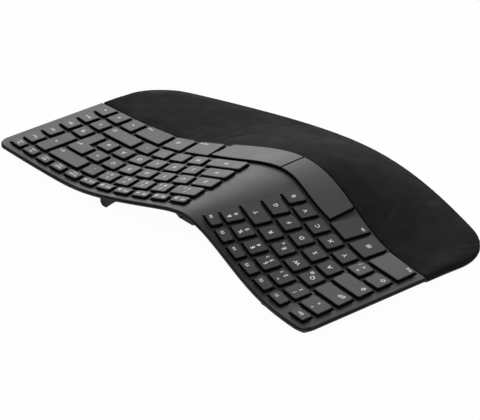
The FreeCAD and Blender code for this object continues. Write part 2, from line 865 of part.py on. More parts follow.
# Deck: a formed plate with an opening for every key and a sloped rim.
deck = full.common(deck_side(PAD_CLEAR)).common(below(deck_skin, 0.0))
deck = deck.cut(pressed(deck_lines, DECK_WALL, REACH))
top_edges = [e for e in deck.Edges if abs(deck_gap(e)) < SEAM / 2]
rim_edges = [e for e in top_edges if e.CenterOfMass.y > palm_line_y(e.CenterOfMass.x) + PAD_CLEAR * 4]
deck = deck.makeChamfer(RIM_ROUND, rim_edges)

# Palm rest: a padded skin on a carrier plate, falling from the deck to a low front edge.
pad = full.common(palm_side(0.0)).common(below(palm_skin, 0.0)).cut(pressed(palm_lines, PAD_WALL, REACH))


def palm_edge(edge):
    """True for the pad's upper edge along the sides and the front."""
    first, last = edge.ParameterRange
    mid = edge.valueAt((first + last) / 2)
    return mid.y < palm_line_y(mid.x) - PAD_CLEAR * 4 and abs(mid.z - palm_z(mid.x, mid.y)) < PAD_WALL / 4


nodes["palm_rest_pad"] = pad.makeChamfer(PAD_ROUND, [e for e in pad.Edges if palm_edge(e)])
CARRIER_DOWN = PAD_WALL + PAD_CLEAR
carrier = under_palm.common(palm_side(CARRIER_INSET, False)).common(
    pressed(palm_lines, CARRIER_DOWN, CARRIER_DOWN + CARRIER_WALL))

# Membrane and key plate, formed to the deck and cut back from the case walls.
layer_low = LEFT_REAR_X + PLATE_INSET
layer_high = RIGHT_REAR_X - PLATE_INSET
layer = [(x, rear_y(x) - PLATE_INSET) for x in spaced(layer_high, layer_low, 15)]
layer += [(x, palm_line_y(x) + PLATE_FRONT) for x in spaced(layer_low, layer_high, 11)]
layer = prism(layer, LOW, TALL)
nodes["membrane_sheet"] = layer.common(pressed(deck_lines, MEMBRANE_DOWN, MEMBRANE_DOWN + MEMBRANE_WALL))
plate_down = MEMBRANE_DOWN + MEMBRANE_WALL + SEAM / 2
plate = layer.common(pressed(deck_lines, plate_down, plate_down + PLATE_WALL))

# Lower case: floor, rear swept up to a thin rim, walls up to the seam, and a rib under the palm line.
floor_top = CASE_FLOOR_Z + FLOOR_WALL


def floor_block(top):
    corner = V(PLAN_LOW, PLAN_FRONT, top - REACH)
    return Part.makeBox(PLAN_HIGH - PLAN_LOW, PLAN_REAR - PLAN_FRONT, REACH, corner)


# The space below the case, and the same raised by the floor's thickness and bent in flats.
outside = ramp_surface().extrude(V(0, 0, -REACH)).fuse(floor_block(CASE_FLOOR_Z))
ramp_lines = [[ramp_point(x, RAMP_HIGH), ramp_point(x, RAMP_LOW)] for x in DECK_STATIONS]
inside = pressed(ramp_lines, -FLOOR_WALL, REACH).fuse(floor_block(floor_top))
slopes = [side_slope(LEFT, LEFT_REAR_X, LEFT_FRONT_X), side_slope(RIGHT, RIGHT_REAR_X, RIGHT_FRONT_X)]
for lines in slopes:
    outside = outside.fuse(pressed(lines, 0.0, REACH))
    inside = inside.fuse(pressed(lines, -FLOOR_WALL, REACH))
deck_half = full.common(deck_side(PAD_CLEAR)).common(pressed(deck_lines, DECK_WALL + SEAM, REACH))
palm_half = under_palm.common(palm_side(-PAD_CLEAR))
palm_half = palm_half.common(pressed(palm_lines, CARRIER_DOWN + CARRIER_WALL + SEAM, REACH))
case = deck_half.fuse(palm_half).cut(outside)
case = case.cut(inner.common(deck_side(RIB_REAR, False)).cut(inside))
case = case.cut(palm_inner.common(palm_side(RIB / 2, False)).cut(inside))
carrier = carrier.cut(outside)

# Under every key: a rubber dome on the membrane, and on full keys a slanted link on either side of it.


def over_sheet(place, points, down):
    """Heights, in a key's own frame, of the flat sheet at some points of that frame."""
    up = place.Rotation.multVec(V(0, 0, 1)).z
    spots = [place.multVec(V(x, y, 0)) for x, y in points]
    return [(sheet_z(spot.x, spot.y) - down - spot.z) * up for spot in spots]


def dome(place, top):
    """A tapered bubble with flat sides, standing on the membrane."""
    foot = max(over_sheet(place, circle(DOME_FOOT, DOME_SIDES), MEMBRANE_DOWN)) + SEAM
    return stacked([(circle(DOME_FOOT, DOME_SIDES), foot), (circle(DOME_TOP, DOME_SIDES), top)])


def link(place, x, lean, top):
    """A lever from the membrane up to the cap, leaning to the rear or the front."""
    ends = [(x - LINK / 2, -lean * LINK_REACH), (x + LINK / 2, -lean * LINK_REACH)]
    foot = max(over_sheet(place, ends, MEMBRANE_DOWN)) + SEAM
    return wedge([V(x - LINK / 2, -lean * LINK_REACH, foot), V(x - LINK / 2, lean * LINK_REACH, top),
                  V(x - LINK / 2, lean * LINK_REACH, top - LINK)], V(LINK, 0, 0))


places = [(member.stem, member.depth, -CAP_SKIRT - SEAM) for members in keys.values() for member in members]
space_line = line_x_at("thumb", SPACE_END / 2)
space_t = front_t(space_line, SPACE_MARGIN) + CAP_DEPTH * SPACE_STEM
for side in (LEFT, RIGHT):
    place = frame_at(side, space_line, space_t)
    top = min(over_sheet(place, circle(hypot(LINK_SIDE, LINK_REACH), 8), CAP_SKIRT)) - SEAM
    places.append((place, CAP_DEPTH, top))
domes = []
links = []
for place, depth, top in places:
    members = [dome(place, top)]
    if depth > FUNCTION_CAP_DEPTH + CAP_PLAY:
        members += [link(place, -LINK_SIDE, 1, top), link(place, LINK_SIDE, -1, top)]
    for member in members:
        member.Placement = place
    domes.append(members[0])
    links += members[1:]
nodes["rubber_domes"] = Part.makeCompound(domes)
nodes["scissor_links"] = Part.makeCompound(links)


def floor_z(y):
    """The table under the case while the feet are open."""
    return -(y - TILT_PIVOT_Y) * tan(radians(TILT))


def over_floor(low_y, high_y):
    """Space above the table between two distances."""
    return wedge([V(PLAN_LOW, low_y, floor_z(low_y)), V(PLAN_LOW, high_y, floor_z(high_y)),
                  V(PLAN_LOW, high_y, TALL), V(PLAN_LOW, low_y, TALL)], V(PLAN_HIGH - PLAN_LOW, 0, 0))


# Feet that fold forward under the case: a blade with a sloped inner side, stub pins and a rubber sole.
sole_top = floor_z(FOOT_Y) + FOOT_SOLE
knuckle = FOOT_WALL / 2
pin_length = FOOT_WIDTH + 2 * FOOT_STUB
pocket_depth = FOOT_PIN_Z - floor_z(FOOT_Y) + FOOT_WALL + FOOT_PLAY
pocket_rear = FOOT_Y + knuckle + FOOT_PLAY
pocket_top = FOOT_PIN_Z + knuckle + FOOT_PLAY
pocket_width = FOOT_WIDTH + 2 * FOOT_PLAY
hood_width = pin_length + 2 * (FOOT_PLAY + FOOT_HOOD)
for side, label in ((LEFT, "left"), (RIGHT, "right")):
    cx = side * FOOT_X
    outer_x = cx + side * FOOT_WIDTH / 2
    inner_x = cx - side * FOOT_WIDTH / 2
    tip_x = outer_x - side * FOOT_TIP
    back = FOOT_Y - knuckle
    clipped = FOOT_ROUND - FOOT_SOLE
    blade = wedge([V(outer_x, back, FOOT_PIN_Z), V(outer_x, back, sole_top + clipped),
                   V(outer_x - side * clipped, back, sole_top), V(tip_x, back, sole_top),
                   V(inner_x, back, FOOT_PIN_Z - knuckle), V(inner_x, back, FOOT_PIN_Z)], V(0, FOOT_WALL, 0))
    blade = blade.fuse(rod(cx - FOOT_WIDTH / 2, FOOT_Y, FOOT_PIN_Z, FOOT_WIDTH, knuckle, knuckle, 8))
    pin_end = V(cx - pin_length / 2, FOOT_Y, FOOT_PIN_Z)
    pin = Part.makeCylinder(FOOT_PIN_RADIUS, pin_length, pin_end, V(1, 0, 0))
    nodes[label + "_foot"] = blade.fuse(pin).removeSplitter()
    sole_face = sole_top - SEAM / 2
    sole = wedge([V(outer_x - side * clipped, back, sole_face), V(tip_x, back, sole_face),
                  V(tip_x + side * FOOT_SOLE * 2, back, sole_face - 2 * FOOT_SOLE),
                  V(outer_x - side * (clipped + 2 * FOOT_SOLE), back, sole_face - 2 * FOOT_SOLE)],
                 V(0, FOOT_WALL, 0))
    nodes[label + "_foot_sole"] = sole.common(over_floor(0.0, PLAN_REAR))
    middle = pocket_rear - pocket_depth / 2
    hood_height = pocket_top + FOOT_HOOD - CASE_FLOOR_Z
    hood = box(cx, middle, CASE_FLOOR_Z, hood_width, pocket_depth + 2 * FOOT_HOOD, hood_height)
    pocket = box(cx, middle, LOW, pocket_width, pocket_depth, pocket_top - LOW)
    hole_length = pin_length + FOOT_PLAY
    bore_radius = (FOOT_PIN_RADIUS + FOOT_PIN_PLAY) / cos(pi / FOOT_BORE_SIDES)
    hole_end = cx - hole_length / 2
    hole = rod(hole_end, FOOT_Y, FOOT_PIN_Z, hole_length, bore_radius, bore_radius, FOOT_BORE_SIDES)
    case = case.fuse(hood.cut(outside)).cut(pocket).cut(hole)

# Rubber pads let into the floor: long ones at the front, which stand on the table, short ones at the rear.
case_pads = []
pad_seat = CASE_FLOOR_Z + PAD_SEAT
for x, y in FRONT_PADS:
    foot = oval(x, y, CASE_PAD_LENGTH, CASE_PAD_WIDTH, LOW, pad_seat)
    case_pads.append(foot.common(over_floor(PLAN_FRONT, PALM_LINE_Y)))
    case = case.cut(oval(x, y, CASE_PAD_LENGTH + SEAM, CASE_PAD_WIDTH + SEAM, LOW, pad_seat + SEAM / 2))
for x, y in REAR_PADS:
    case_pads.append(oval(x, y, CASE_PAD_WIDTH * 1.5, CASE_PAD_WIDTH, 0.0, pad_seat))
    case = case.cut(oval(x, y, CASE_PAD_WIDTH * 1.5 + SEAM, CASE_PAD_WIDTH + SEAM, LOW, pad_seat + SEAM / 2))
nodes["case_pads"] = Part.makeCompound(case_pads)

# Battery bay under the crest, with its door let into the floor.
bay_base = CASE_FLOOR_Z + FLOOR_WALL / 2
bay = box(BAY_X, BAY_Y, bay_base, BAY_LENGTH + 2 * BAY_WALL, BAY_WIDTH + 2 * BAY_WALL, BAY_HEIGHT)
case = case.fuse(bay).cut(box(BAY_X, BAY_Y, LOW, BAY_LENGTH, BAY_WIDTH, TALL))
ledge = CASE_FLOOR_Z + DOOR_WALL + SEAM
case = case.cut(box(BAY_X, BAY_Y, LOW, BAY_LENGTH + 2 * DOOR_LIP, BAY_WIDTH + 2 * DOOR_LIP, ledge - LOW))
door_edge = 2 * (DOOR_LIP - DOOR_PLAY)
door = box(BAY_X, BAY_Y, CASE_FLOOR_Z, BAY_LENGTH + door_edge, BAY_WIDTH + door_edge, DOOR_WALL)
grip_y = BAY_Y + BAY_WIDTH / 2 - GRIP_WIDTH
grip = oval(BAY_X, grip_y, GRIP_LENGTH, GRIP_WIDTH, LOW, CASE_FLOOR_Z + DOOR_WALL / 2)
nodes["battery_door"] = door.cut(grip)
cell_z = CASE_FLOOR_Z + DOOR_WALL + SEAM + CELL_RADIUS
cell_lane = CELL_RADIUS + SEAM * 4
cells = []
contacts = []
for lane in (LEFT, RIGHT):
    cell_y = BAY_Y + lane * cell_lane
    cell = rod(BAY_X - CELL_LENGTH / 2, cell_y, cell_z, CELL_LENGTH, CELL_RADIUS, CELL_RADIUS, 10)
    tip_start = BAY_X + lane * (CELL_LENGTH / 2 - SEAM)
    tip = rod(tip_start, cell_y, cell_z, lane * (CELL_TIP + SEAM), TIP_RADIUS, TIP_RADIUS, 6)
    cells.append(cell.fuse(tip))
    strip_x = BAY_X + lane * (BAY_LENGTH / 2 - CONTACT_WALL / 2 - SEAM)
    strip = box(strip_x, BAY_Y, floor_top, CONTACT_WALL, BAY_WIDTH - 2 * SEAM, 2 * CELL_RADIUS)
    spring_length = (BAY_LENGTH - CELL_LENGTH) / 2 - CONTACT_WALL / 2 - 3 * SEAM
    spring_y = BAY_Y - lane * cell_lane
    spring = rod(strip_x, spring_y, cell_z, -lane * spring_length, SPRING_RADIUS, TIP_RADIUS, 6)
    contacts.append(strip.fuse(spring))
nodes["batteries"] = Part.makeCompound(cells)
nodes["battery_contacts"] = Part.makeCompound(contacts)

# Controller board on two posts behind the bay, with a shielded module, a chip and the ribbon's connector.
board = box(BOARD_X, BOARD_Y, BOARD_Z, BOARD_LENGTH, BOARD_WIDTH, BOARD_WALL)
board_top = BOARD_Z + BOARD_WALL
socket_x = BOARD_X + SOCKET_AT
for x, length, width, height in ((BOARD_X + MODULE_AT, MODULE, MODULE, MODULE_RISE),
                                 (BOARD_X + CHIP_AT, CHIP, CHIP, CHIP_RISE),
                                 (socket_x, SOCKET, TAIL_WIDTH + SOCKET, MODULE_RISE)):
    board = board.fuse(box(x, BOARD_Y, board_top, length, width, height))
nodes["controller_board"] = board.removeSplitter()
for side in (LEFT, RIGHT):
    x = BOARD_X + side * (BOARD_LENGTH / 2 - 2 * POST_RADIUS)
    base = underside_z(x, BOARD_Y) + FLOOR_WALL / 2
    case = case.fuse(post(x, BOARD_Y, base, BOARD_Z - SEAM, POST_RADIUS))

# Ribbon from the membrane through a slot in the key plate to the connector.
tail_x = socket_x + TAIL_REACH
tail_high = deck_z(tail_x, BOARD_Y) - plate_down
tail_low = board_top + MODULE_RISE + SEAM
tail = wedge([V(tail_x, BOARD_Y - TAIL_WIDTH / 2, tail_high), V(tail_x, BOARD_Y - TAIL_WIDTH / 2, tail_low),
              V(socket_x, BOARD_Y - TAIL_WIDTH / 2, tail_low),
              V(socket_x, BOARD_Y - TAIL_WIDTH / 2, tail_low + TAIL_WALL),
              V(tail_x - TAIL_WALL, BOARD_Y - TAIL_WIDTH / 2, tail_low + TAIL_WALL),
              V(tail_x - TAIL_WALL, BOARD_Y - TAIL_WIDTH / 2, tail_high)], V(0, TAIL_WIDTH, 0))
tail_slot = box(tail_x - TAIL_WALL / 2, BOARD_Y, LOW, TAIL_WALL + 4 * SEAM, TAIL_WIDTH + 4 * SEAM, TALL)
nodes["ribbon_tail"] = tail.common(pressed(deck_lines, plate_down, REACH))
nodes["key_plate"] = plate.cut(tail_slot)

# Power switch: a ribbed slider in a pod under the rear edge, at the split.
pod_y = rear_y(POD_X) - POD_INSET
pod_top = deck_z(POD_X, pod_y) - DECK_WALL
pod_low = pod_top - POD_HEIGHT
pod_left = POD_X - POD_WIDTH / 2
pod_right = POD_X + POD_WIDTH / 2
pod_waist = pod_top - POD_SHOULDER * 2
pod_line = [V(pod_left, pod_y, pod_top), V(pod_left, pod_y, pod_waist), V(pod_left + POD_TAPER, pod_y, pod_low),
            V(pod_right - POD_TAPER, pod_y, pod_low), V(pod_right, pod_y, pod_waist), V(pod_right, pod_y, pod_top)]
pod = wedge(pod_line, V(0, -POD_DEPTH, 0)).common(pressed(deck_lines, DECK_WALL + SEAM, REACH))
switch_z = pod_low + POD_SHOULDER / 2
recess_width = SWITCH_WIDTH + SWITCH_TRAVEL + 2 * SWITCH_PLAY
recess_height = SWITCH_HEIGHT + 2 * SWITCH_PLAY
recess = box(POD_X, pod_y - SWITCH_DEPTH / 2, switch_z - SWITCH_PLAY, recess_width, SWITCH_DEPTH + 2 * SEAM,
             recess_height)
case = case.fuse(pod).cut(recess)
switch_x = POD_X - SWITCH_TRAVEL / 2
switch_back = pod_y - SWITCH_DEPTH / 2 - SEAM
switch = box(switch_x, switch_back + SEAM * 2, switch_z, SWITCH_WIDTH, SWITCH_DEPTH - SEAM * 6, SWITCH_HEIGHT)
rib_pitch = SWITCH_WIDTH / SWITCH_RIBS
for i in range(SWITCH_RIBS):
    x = switch_x + (i - (SWITCH_RIBS - 1) / 2) * rib_pitch
    switch = switch.fuse(box(x, pod_y, switch_z, rib_pitch / 2, 2 * SWITCH_OUT, SWITCH_HEIGHT))
nodes["power_switch"] = switch.removeSplitter()


def screw(x, y, seat, tip):
    """Pan head below its seat, shank above it."""
    head = post(x, y, seat - SCREW_HEAD, seat, SCREW_HEAD_RADIUS)
    return head.fuse(post(x, y, seat - SEAM, tip, SCREW_RADIUS))


def bore(x, y, seat, tip):
    """Counterbore from below and blind hole for a screw."""
    head = post(x, y, LOW, seat + SCREW_CLEAR, SCREW_HEAD_RADIUS + 3 * SCREW_CLEAR)
    return head.fuse(post(x, y, seat, tip + 2 * SCREW_CLEAR, SCREW_RADIUS + SCREW_CLEAR))


# Screws from below into blind bosses, through the lower case into the deck and into the carrier.
screws = []
for x in REAR_SCREWS:
    y = rear_y(x) - SCREW_INSET
    seat = underside_z(x, y + SCREW_HEAD_RADIUS) + SCREW_HEAD
    ledge = seat + LUG_WALL
    high = deck_z(x, y) - DECK_WALL / 2
    tip = high - SCREW_TIP
    lug = post(x, y, underside_z(x, y - LUG_RADIUS), ledge, LUG_RADIUS)
    deck = deck.fuse(post(x, y, ledge + SEAM, high, BOSS_RADIUS))
    screws.append(screw(x, y, seat, tip))
    deck = deck.cut(bore(x, y, seat, tip))
    case = case.fuse(lug.cut(outside)).cut(bore(x, y, seat, tip))
for x, y in PALM_SCREWS:
    high = palm_z(x, y) - CARRIER_DOWN - CARRIER_WALL / 2
    carrier = carrier.fuse(post(x, y, floor_top + SEAM, high, BOSS_RADIUS))
    seat = CASE_FLOOR_Z + SCREW_HEAD / 2
    tip = high - SCREW_TIP
    screws.append(screw(x, y, seat, tip))
    carrier = carrier.cut(bore(x, y, seat, tip))
    case = case.cut(bore(x, y, seat, tip))
nodes["case_screws"] = Part.makeCompound(screws)
nodes["top_case"] = deck.cut(Part.makeCompound(openings))
nodes["palm_rest_carrier"] = carrier
nodes["bottom_case"] = case

# Stand the keyboard on its open feet and centre it over the origin.
everything = Part.makeCompound(list(nodes.values()))
lean = FreeCAD.Placement(V(0, 0, 0), FreeCAD.Rotation(V(1, 0, 0), TILT), V(0, TILT_PIVOT_Y, 0))
everything.Placement = lean
bounds = everything.optimalBoundingBox(False)
shift = V(-(bounds.XMin + bounds.XMax) / 2, -(bounds.YMin + bounds.YMax) / 2, -bounds.ZMin)
stand = FreeCAD.Placement(shift, FreeCAD.Rotation()).multiply(lean)

os.makedirs("parts", exist_ok=True)
for name, shape in nodes.items():
    placed = shape.copy()
    placed.Placement = stand.multiply(placed.Placement)
    placed.exportStep("parts/" + name + ".step")
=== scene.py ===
import bpy, bmesh, json, math
from mathutils import Matrix, Vector

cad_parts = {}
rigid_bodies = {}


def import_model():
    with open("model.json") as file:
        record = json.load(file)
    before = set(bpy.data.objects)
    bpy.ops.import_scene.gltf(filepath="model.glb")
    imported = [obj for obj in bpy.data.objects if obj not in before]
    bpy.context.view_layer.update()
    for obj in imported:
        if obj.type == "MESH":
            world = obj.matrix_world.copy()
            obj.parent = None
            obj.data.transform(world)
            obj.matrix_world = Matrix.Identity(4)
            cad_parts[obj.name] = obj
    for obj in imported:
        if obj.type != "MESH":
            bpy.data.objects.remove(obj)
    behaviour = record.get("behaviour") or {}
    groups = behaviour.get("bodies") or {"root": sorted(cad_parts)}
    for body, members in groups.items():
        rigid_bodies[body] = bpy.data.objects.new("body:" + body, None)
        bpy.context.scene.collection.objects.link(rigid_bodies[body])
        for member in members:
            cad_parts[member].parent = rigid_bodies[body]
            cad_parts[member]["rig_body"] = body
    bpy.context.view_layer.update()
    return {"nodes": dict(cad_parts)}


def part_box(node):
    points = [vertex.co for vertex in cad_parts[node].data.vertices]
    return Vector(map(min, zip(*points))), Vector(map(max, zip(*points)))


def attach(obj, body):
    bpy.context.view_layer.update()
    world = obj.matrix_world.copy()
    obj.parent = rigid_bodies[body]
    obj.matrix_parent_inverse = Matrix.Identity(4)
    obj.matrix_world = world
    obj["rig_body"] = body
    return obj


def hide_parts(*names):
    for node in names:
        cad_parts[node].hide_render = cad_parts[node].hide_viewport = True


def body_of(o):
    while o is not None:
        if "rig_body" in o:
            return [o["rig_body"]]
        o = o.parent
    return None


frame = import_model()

MM = 0.001
nodes = frame["nodes"]
body_of_node = {n: body_of(o)[0] for n, o in nodes.items()}

# Materials. Each one is a principled shader with fine texture in the object's own coordinates.
# The scale of a texture is its patches in a metre.
NOISE_LEVELS = (0.3, 0.7)      # noise values that are spread over a material's whole range
WALL_LEVELS = (0.55, 0.85)     # upward share of the normal of a wall and of a top
COLOUR_PATCHES = 9.0
GLOSS_PATCHES = 40.0
EDGE_SAMPLES = 4


def material(name):
    """A new material, its node tree and its shader."""
    m = bpy.data.materials.new(name)
    m.use_nodes = True
    t = m.node_tree
    t.nodes.clear()
    out = t.nodes.new("ShaderNodeOutputMaterial")
    sh = t.nodes.new("ShaderNodeBsdfPrincipled")
    t.links.new(sh.outputs[0], out.inputs[0])
    return m, t, sh


def coords(t):
    return t.nodes.new("ShaderNodeTexCoord").outputs["Object"]


def noise(t, co, scale, detail):
    n = t.nodes.new("ShaderNodeTexNoise")
    n.inputs["Scale"].default_value = scale
    n.inputs["Detail"].default_value = detail
    t.links.new(co, n.inputs["Vector"])
    return n.outputs["Fac"]


def ramp(t, fac, low, high, levels=NOISE_LEVELS):
    """A value that goes from low to high while fac goes from one level to the other."""
    r = t.nodes.new("ShaderNodeMapRange")
    r.inputs["From Min"].default_value, r.inputs["From Max"].default_value = levels
    r.inputs["To Min"].default_value = low
    r.inputs["To Max"].default_value = high
    t.links.new(fac, r.inputs["Value"])
    return r.outputs[0]


def tint(t, fac, dark, light):
    """A colour that goes from dark to light with a noise."""
    r = t.nodes.new("ShaderNodeValToRGB")
    stops = r.color_ramp.elements
    stops[0].position, stops[1].position = NOISE_LEVELS
    stops[0].color = (*dark, 1)
    stops[1].color = (*light, 1)
    t.links.new(fac, r.inputs["Fac"])
    return r.outputs[0]


def bump(t, sh, height, depth, strength=1.0, edge=0.0):
    """Relief of a depth in metres, over edges that look rounded to a radius."""
    b = t.nodes.new("ShaderNodeBump")
    b.inputs["Distance"].default_value = depth
    b.inputs["Strength"].default_value = strength
    t.links.new(height, b.inputs["Height"])
    if edge:
        v = t.nodes.new("ShaderNodeBevel")
        v.samples = EDGE_SAMPLES
        v.inputs["Radius"].default_value = edge
        t.links.new(v.outputs[0], b.inputs["Normal"])
    t.links.new(b.outputs[0], sh.inputs["Normal"])


def upward(t, wall, top):
    """A value that goes from wall on upright faces to top on faces that look up."""
    geometry = t.nodes.new("ShaderNodeNewGeometry")
    part = t.nodes.new("ShaderNodeSeparateXYZ")
    t.links.new(geometry.outputs["True Normal"], part.inputs[0])
    return ramp(t, part.outputs["Z"], wall, top, WALL_LEVELS)


def moulded(name, dark, light, rough, spread, grain, depth, edge=0.0, specular=0.5, wall=None,
            wall_specular=None):
    """Moulded plastic: fine grain and slow changes of colour and gloss. Wall is a painted shade: the
    near-black grey that upright faces get instead of the colour, with wall_specular as their lower specular
    level.
    """
    m, t, sh = material(name)
    co = coords(t)
    colour = tint(t, noise(t, co, COLOUR_PATCHES, detail=3.0), dark, light)
    gloss = ramp(t, noise(t, co, GLOSS_PATCHES, detail=4.0), rough - spread, rough + spread)
    sh.inputs["Specular IOR Level"].default_value = specular
    # Painted shade: upright faces get the dark wall grey in place of the colour, and a lower specular level,
    # so that they look shaded.
    if wall is not None:
        # The colours of a mix node are its inputs 6 and 7 and its output 2.
        mix = t.nodes.new("ShaderNodeMix")
        mix.data_type = "RGBA"
        mix.inputs[6].default_value = (wall, wall, wall, 1)
        t.links.new(upward(t, 0.0, 1.0), mix.inputs[0])
        t.links.new(colour, mix.inputs[7])
        colour = mix.outputs[2]
        t.links.new(upward(t, wall_specular, specular), sh.inputs["Specular IOR Level"])
    t.links.new(colour, sh.inputs["Base Color"])
    t.links.new(gloss, sh.inputs["Roughness"])
    bump(t, sh, noise(t, co, grain, detail=1.0), depth, edge=edge)
    return m


# Painted shade: the deck's upright faces, such as the walls of the key openings, are near black (wall) with
# little specular.
deck_mat = moulded("deck_satin", (0.012, 0.012, 0.0125), (0.0155, 0.0155, 0.016), rough=0.40, spread=0.03,
                   grain=2600.0, depth=0.012 * MM, edge=0.5 * MM, specular=0.42, wall=0.004,
                   wall_specular=0.05)
case_mat = moulded("case_grain", (0.016, 0.016, 0.017), (0.022, 0.022, 0.023), rough=0.5, spread=0.04,
                   grain=1500.0, depth=0.03 * MM, edge=0.4 * MM, specular=0.4)
# Painted shade: the caps' upright sides are near black (wall) with little specular, where the shade between
# keys falls.
key_mat = moulded("key_matte", (0.026, 0.026, 0.028), (0.032, 0.032, 0.034), rough=0.42, spread=0.03,
                  grain=3200.0, depth=0.01 * MM, edge=0.2 * MM, wall=0.0025, wall_specular=0.04)
rubber_mat = moulded("rubber_black", (0.012, 0.012, 0.012), (0.02, 0.02, 0.02), rough=0.75, spread=0.06,
                     grain=900.0, depth=0.05 * MM, edge=0.3 * MM, specular=0.3)
switch_mat = moulded("switch_plastic", (0.03, 0.03, 0.03), (0.045, 0.045, 0.045), rough=0.4, spread=0.04,
                     grain=1500.0, depth=0.01 * MM, edge=0.2 * MM)
rib_mat = moulded("switch_rib", (0.10, 0.10, 0.10), (0.14, 0.14, 0.14), rough=0.4, spread=0.04,
                  grain=1500.0, depth=0.01 * MM)
film_mat = moulded("film_smoke_grey", (0.05, 0.05, 0.055), (0.08, 0.08, 0.085), rough=0.3, spread=0.05,
                   grain=600.0, depth=0.01 * MM)
plate_mat = moulded("plate_black", (0.010, 0.010, 0.010), (0.016, 0.016, 0.016), rough=0.45, spread=0.05,
                    grain=1200.0, depth=0.01 * MM, specular=0.2)
link_mat = moulded("link_black", (0.008, 0.008, 0.008), (0.012, 0.012, 0.012), rough=0.5, spread=0.05,
                   grain=900.0, depth=0.01 * MM, specular=0.2)
board_mat = moulded("board_green", (0.01, 0.06, 0.03), (0.02, 0.1, 0.05), rough=0.3, spread=0.05,
                    grain=500.0, depth=0.02 * MM)
cell_mat = moulded("cell_jacket", (0.10, 0.10, 0.11), (0.16, 0.16, 0.17), rough=0.3, spread=0.05,
                   grain=400.0, depth=0.01 * MM)
legend_mat = moulded("legend_print", (0.86, 0.86, 0.87), (0.92, 0.92, 0.93), rough=0.5, spread=0.03,
                     grain=1500.0, depth=0.004 * MM)

METAL_COLOUR_PATCHES = 60.0
METAL_GLOSS_PATCHES = 300.0
METAL_GRAIN = 900.0
METAL_DEPTH = 0.02 * MM
METAL_GLOSSIER = 0.05
METAL_DULLER = 0.08


def metal(name, dark, light, rough):
    """Plain metal with a fine grain."""
    m, t, sh = material(name)
    co = coords(t)
    colour = tint(t, noise(t, co, METAL_COLOUR_PATCHES, detail=4.0), dark, light)
    streaks = noise(t, co, METAL_GLOSS_PATCHES, detail=3.0)
    gloss = ramp(t, streaks, rough - METAL_GLOSSIER, rough + METAL_DULLER)
    t.links.new(colour, sh.inputs["Base Color"])
    t.links.new(gloss, sh.inputs["Roughness"])
    sh.inputs["Metallic"].default_value = 1.0
    bump(t, sh, noise(t, co, METAL_GRAIN, detail=2.0), METAL_DEPTH)
    return m


steel_mat = metal("steel_pressed", (0.42, 0.42, 0.43), (0.55, 0.55, 0.56), 0.35)
screw_mat = metal("screw_black", (0.10, 0.10, 0.10), (0.16, 0.16, 0.16), 0.4)

PALM_DARK = (0.0034, 0.0034, 0.0035)
PALM_LIGHT = (0.0050, 0.0050, 0.0052)
PALM_SPECULAR = 0.10
PALM_ROUGH = (0.66, 0.76)
PALM_COLOUR_PATCHES = 14.0
PALM_GLOSS_PATCHES = 60.0
PALM_PEBBLES = 1100.0
PALM_PEBBLE_BLEND = 0.4
PALM_WRINKLES = 400.0
PALM_WRINKLE_SHARE = 0.4
PALM_DEPTH = 0.06 * MM
PALM_STRENGTH = 0.8


def palm_leather():
    """Soft matte cover with a fine pebble and slow patches."""
    m, t, sh = material("palm_cover")
    co = coords(t)
    colour = tint(t, noise(t, co, PALM_COLOUR_PATCHES, detail=4.0), PALM_DARK, PALM_LIGHT)
    gloss = ramp(t, noise(t, co, PALM_GLOSS_PATCHES, detail=3.0), *PALM_ROUGH)
    pebble = t.nodes.new("ShaderNodeTexVoronoi")
    pebble.feature = "SMOOTH_F1"
    pebble.inputs["Scale"].default_value = PALM_PEBBLES
    pebble.inputs["Smoothness"].default_value = PALM_PEBBLE_BLEND
    t.links.new(co, pebble.inputs["Vector"])
    wrinkle = ramp(t, noise(t, co, PALM_WRINKLES, detail=3.0), 0.0, PALM_WRINKLE_SHARE)
    both = t.nodes.new("ShaderNodeMath")
    both.operation = "ADD"
    t.links.new(pebble.outputs["Distance"], both.inputs[0])
    t.links.new(wrinkle, both.inputs[1])
    bump(t, sh, both.outputs[0], PALM_DEPTH, PALM_STRENGTH)
    t.links.new(colour, sh.inputs["Base Color"])
    t.links.new(gloss, sh.inputs["Roughness"])
    sh.inputs["Specular IOR Level"].default_value = PALM_SPECULAR
    return m


palm_mat = palm_leather()

# Every node that isn't named here is a cap.
by_node = {
    "top_case": deck_mat, "bottom_case": case_mat, "palm_rest_carrier": case_mat, "battery_door": case_mat,
    "palm_rest_pad": palm_mat, "case_pads": rubber_mat, "left_foot": case_mat, "right_foot": case_mat,
    "left_foot_sole": rubber_mat, "right_foot_sole": rubber_mat, "power_switch": switch_mat,
    "membrane_sheet": film_mat, "ribbon_tail": film_mat, "key_plate": plate_mat, "rubber_domes": rubber_mat,
    "scissor_links": link_mat, "controller_board": board_mat, "batteries": cell_mat,
    "battery_contacts": steel_mat, "case_screws": screw_mat,
}
for name, obj in nodes.items():
    obj.data.materials.clear()
    obj.data.materials.append(by_node.get(name, key_mat))

# Shared by the pieces below. Points that round to the same micrometre count as one place.
PLACES_PER_METRE = 1e6


def place(co):
    return tuple(round(c * PLACES_PER_METRE) for c in co)


def sides(me, polygon):
    """Both ends of each edge of a polygon, in its order."""
    ids = list(polygon.vertices)
    return [(me.vertices[a].co, me.vertices[b].co) for a, b in zip(ids, ids[1:] + ids[:1])]


def add(name, data):
    """A new object in the scene."""
    o = bpy.data.objects.new(name, data)
    bpy.context.scene.collection.objects.link(o)
    return o


def mesh_object(name, bm, mat, body):
    """A new piece that rides on a body."""
    me = bpy.data.meshes.new(name)
    bm.to_mesh(me)
    bm.free()
    o = add(name, me)
    me.materials.append(mat)
    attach(o, body)


def loft(bm, rings):
    """Walls from ring to ring, and a face at both ends."""
    for a, b in zip(rings, rings[1:]):
        for j in range(len(a)):
            k = (j + 1) % len(a)
            bm.faces.new((a[j], a[k], b[k], b[j]))
    bm.faces.new(list(reversed(rings[0])))
    bm.faces.new(rings[-1])


